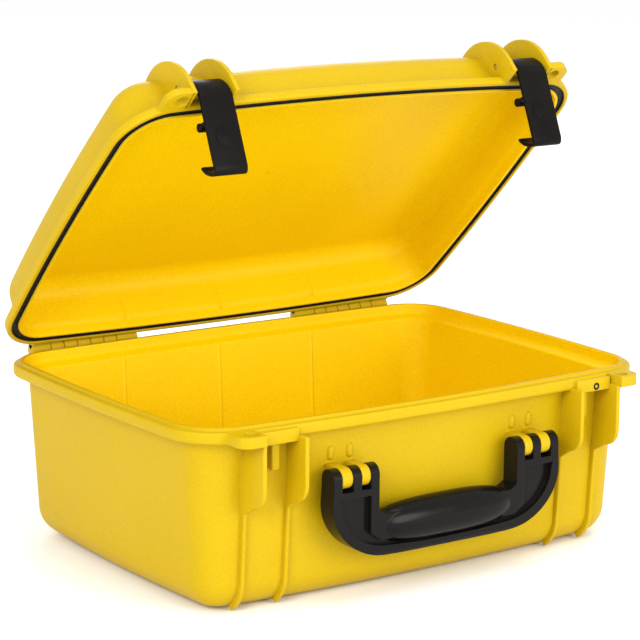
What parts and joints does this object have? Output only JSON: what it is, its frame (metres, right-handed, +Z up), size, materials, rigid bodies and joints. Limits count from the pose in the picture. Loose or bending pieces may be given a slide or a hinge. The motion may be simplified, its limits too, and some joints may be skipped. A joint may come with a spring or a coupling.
{
  "type": "hard carrying case",
  "caption": "Moulded hard case with a partly open hinged lid, rubber lid seal, over-centre latches, padlock tabs, a vent plug and a swinging bail handle on the front.",
  "frame": {"origin": "middle of the flat underside", "axes": "+Z up, +X along the front to the right and along the hinge, -Y towards the front with the handle and latches"},
  "size_m": [0.3692, 0.2944, 0.3364],
  "materials": {
    "shell": "yellow moulded plastic, fine grain outside, smooth inside",
    "latch": "black moulded nylon, satin",
    "handle": "black moulded nylon, semi-gloss",
    "seal": "black sealing rubber",
    "pin": "drawn steel",
    "vent": "pale vent cap"
  },
  "bodies": {
    "base": {"base_shell": "shell", "hinge_pin_left": "pin", "hinge_pin_right": "pin", "handle_pin_left": "pin", "handle_pin_right": "pin", "vent_plug": "vent", "vent_seal": "seal"},
    "lid": {"lid_shell": "shell", "lid_seal": "seal"},
    "latch_pin_left": {"latch_pin_left": "pin"},
    "latch_pin_right": {"latch_pin_right": "pin"},
    "latch_left": {"latch_left": "latch"},
    "latch_right": {"latch_right": "latch"},
    "handle": {"handle": "handle"}
  },
  "joints": [
    {"name": "lid_hinge", "type": "hinge", "parent": "base", "child": "lid", "pos_m": [0, 0.1363, 0.122], "axis": [-1, 0, 0], "range_deg": [-44.5, 36.5]},
    {"name": "latch_left_carry", "type": "hinge", "parent": "lid", "child": "latch_pin_left", "pos_m": [-0.12578, -0.04455, 0.32033], "axis": [-1, 0, 0], "range_deg": [-23.4, 28.5]},
    {"name": "latch_right_carry", "type": "hinge", "parent": "lid", "child": "latch_pin_right", "pos_m": [0.12578, -0.04455, 0.32033], "axis": [-1, 0, 0], "range_deg": [-23.4, 28.5]},
    {"name": "latch_left_swing", "type": "hinge", "parent": "latch_pin_left", "child": "latch_left", "pos_m": [-0.12578, -0.04455, 0.32033], "axis": [-1, 0, 0], "range_deg": [-15.7, 100]},
    {"name": "latch_right_swing", "type": "hinge", "parent": "latch_pin_right", "child": "latch_right", "pos_m": [0.12578, -0.04455, 0.32033], "axis": [-1, 0, 0], "range_deg": [-15.7, 100]},
    {"name": "handle_swing", "type": "hinge", "parent": "base", "child": "handle", "pos_m": [0, -0.1358, 0.0832], "axis": [-1, 0, 0], "range_deg": [0, 135]}
  ],
  "couplings": [
    {"joint": "latch_left_carry", "follows": "lid_hinge", "ratio": -0.64},
    {"joint": "latch_right_carry", "follows": "lid_hinge", "ratio": -0.64}
  ]
}
